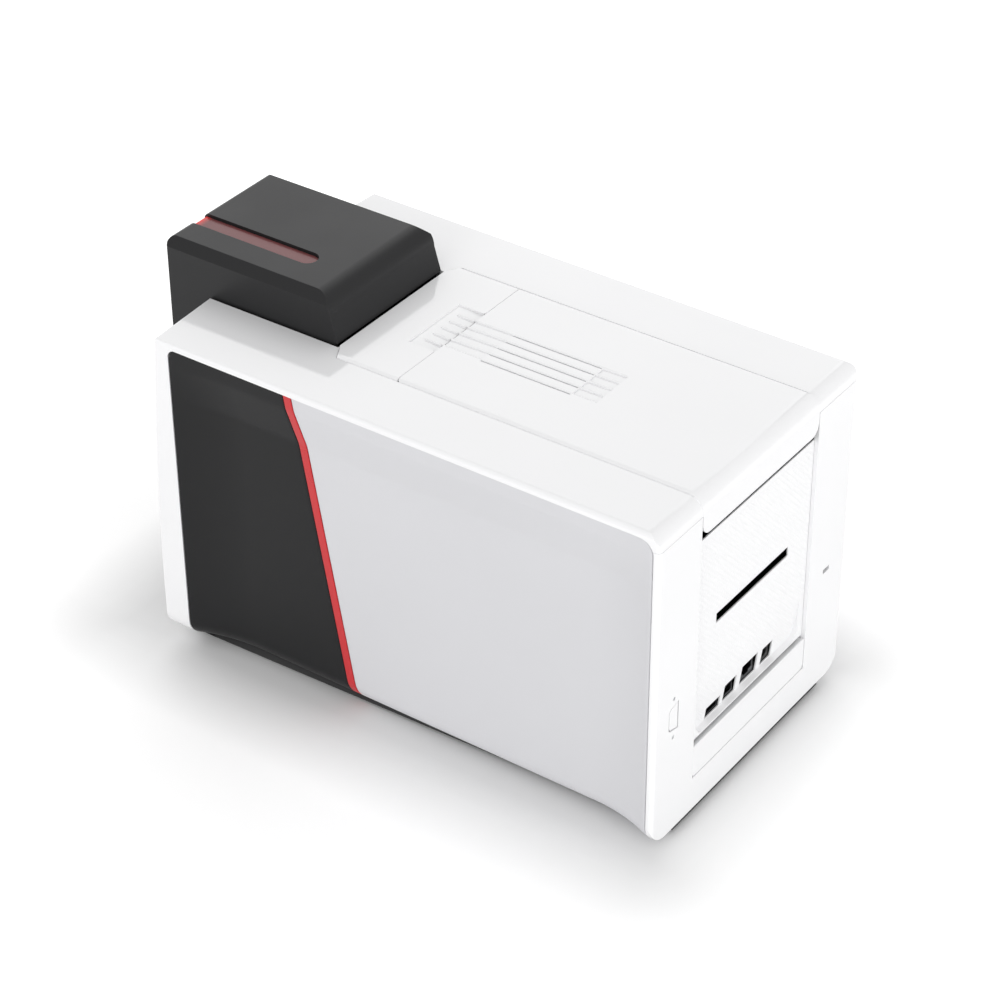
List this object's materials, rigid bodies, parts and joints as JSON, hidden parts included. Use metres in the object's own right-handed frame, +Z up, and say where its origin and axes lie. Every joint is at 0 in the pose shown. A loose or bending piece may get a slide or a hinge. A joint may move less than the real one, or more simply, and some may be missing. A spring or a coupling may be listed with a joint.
{
  "type": "id card printer",
  "caption": "Desktop card printer with a raised card feeder under a hinged cover, hinged top lid, sliding output tray, dished side panels, rear card slot and sockets.",
  "frame": {"origin": "on the table plane, under the middle of the width and of the whole length", "axes": "+Z up, -Y towards the front with feeder and output tray, +Y towards the rear with the sockets, +X to the right when facing the front"},
  "size_m": [0.205, 0.381, 0.246],
  "materials": {
    "white_plastic": "glossy moulded plastic",
    "textured_white": "finely textured plastic",
    "black_plastic": "matte moulded plastic",
    "feeder_black": "satin moulded plastic",
    "red_plastic": "satin red plastic",
    "red_light_guide": "tinted translucent plastic",
    "grey_panel": "satin light grey plastic",
    "rubber": "moulded rubber",
    "steel": "plated steel",
    "board_green": "solder mask on glass fibre",
    "motor_black": "black painted steel",
    "natural_plastic": "natural acetal",
    "grey_plastic": "grey plastic",
    "head_metal": "machined aluminium"
  },
  "bodies": {
    "casing": {"base_tray": "black_plastic", "rubber_feet": "rubber", "deck_shell": "white_plastic", "front_strip": "white_plastic", "rear_frame": "white_plastic", "rear_panel": "textured_white", "lower_rear_panel": "textured_white", "usb_host_socket": "steel", "usb_device_socket": "steel", "network_socket": "steel", "power_socket": "black_plastic", "serial_cover": "white_plastic", "serial_screws": "steel", "right_front_panel": "black_plastic", "right_stripe": "red_plastic", "right_rear_panel": "grey_panel", "left_front_panel": "black_plastic", "left_stripe": "red_plastic", "left_rear_panel": "grey_panel", "feeder_base": "feeder_black", "card_magazine": "black_plastic", "feeder_hinge_pin": "steel", "hopper_frame": "black_plastic", "left_chassis": "steel", "right_chassis": "steel", "cross_bars": "steel", "card_guide": "black_plastic", "main_board": "board_green", "board_posts": "steel", "drive_motor": "motor_black", "drive_belt": "rubber", "spool_pegs": "natural_plastic", "lid_hinge_pins": "steel", "indicator_lamps": "natural_plastic", "switch_board": "board_green"},
    "lid": {"top_lid": "white_plastic", "lid_frame": "black_plastic", "print_head": "head_metal", "head_heatsink": "head_metal"},
    "feeder_lid": {"feeder_cover": "feeder_black", "feeder_strip": "red_light_guide"},
    "press": {"press_plate": "grey_plastic"},
    "tray": {"output_tray": "black_plastic"},
    "button": {"control_button": "grey_plastic"},
    "pick_roller": {"pick_shaft": "steel", "pick_tyre": "rubber"},
    "feed_roller": {"feed_shaft": "steel", "feed_tyre": "rubber"},
    "platen_roller": {"platen_shaft": "steel", "platen_tyre": "rubber"},
    "exit_roller": {"exit_shaft": "steel", "exit_tyre": "rubber"},
    "motor_rotor": {"motor_pulley": "steel"},
    "takeup_spindle": {"takeup_hub": "natural_plastic"},
    "supply_spindle": {"supply_hub": "natural_plastic"}
  },
  "joints": [
    {"name": "lid_hinge", "type": "hinge", "parent": "casing", "child": "lid", "pos_m": [0, 0.179, 0.203], "axis": [-1, 0, 0], "range_deg": [0, 80]},
    {"name": "feeder_hinge", "type": "hinge", "parent": "casing", "child": "feeder_lid", "pos_m": [0, -0.067, 0.221], "axis": [-1, 0, 0], "range_deg": [0, 72]},
    {"name": "press_slide", "type": "slide", "parent": "casing", "child": "press", "axis": [0, 0, 1], "range_m": [0, 0.06]},
    {"name": "tray_slide", "type": "slide", "parent": "casing", "child": "tray", "axis": [0, -1, 0], "range_m": [0, 0.03]},
    {"name": "button_press", "type": "slide", "parent": "casing", "child": "button", "axis": [0, 1, 0], "range_m": [0, 0.0012], "stiffness_N_per_m": 400},
    {"name": "platen_spin", "type": "hinge", "parent": "casing", "child": "platen_roller", "pos_m": [0, 0.04, 0.1157], "axis": [1, 0, 0], "continuous": true},
    {"name": "feed_spin", "type": "hinge", "parent": "casing", "child": "feed_roller", "pos_m": [0, -0.03, 0.1157], "axis": [1, 0, 0], "continuous": true},
    {"name": "exit_spin", "type": "hinge", "parent": "casing", "child": "exit_roller", "pos_m": [0, 0.125, 0.1157], "axis": [1, 0, 0], "continuous": true},
    {"name": "pick_spin", "type": "hinge", "parent": "casing", "child": "pick_roller", "pos_m": [0, -0.1113, 0.1193], "axis": [1, 0, 0], "continuous": true},
    {"name": "motor_spin", "type": "hinge", "parent": "casing", "child": "motor_rotor", "pos_m": [0, 0.02, 0.042], "axis": [1, 0, 0], "continuous": true},
    {"name": "takeup_spin", "type": "hinge", "parent": "casing", "child": "takeup_spindle", "pos_m": [0, 0.0035, 0.16], "axis": [1, 0, 0], "continuous": true},
    {"name": "supply_spin", "type": "hinge", "parent": "casing", "child": "supply_spindle", "pos_m": [0, 0.0945, 0.16], "axis": [1, 0, 0], "continuous": true}
  ],
  "couplings": [
    {"joint": "feed_spin", "follows": "platen_spin", "ratio": 1},
    {"joint": "exit_spin", "follows": "platen_spin", "ratio": 1},
    {"joint": "pick_spin", "follows": "platen_spin", "ratio": 1},
    {"joint": "motor_spin", "follows": "platen_spin", "ratio": 1.5}
  ]
}
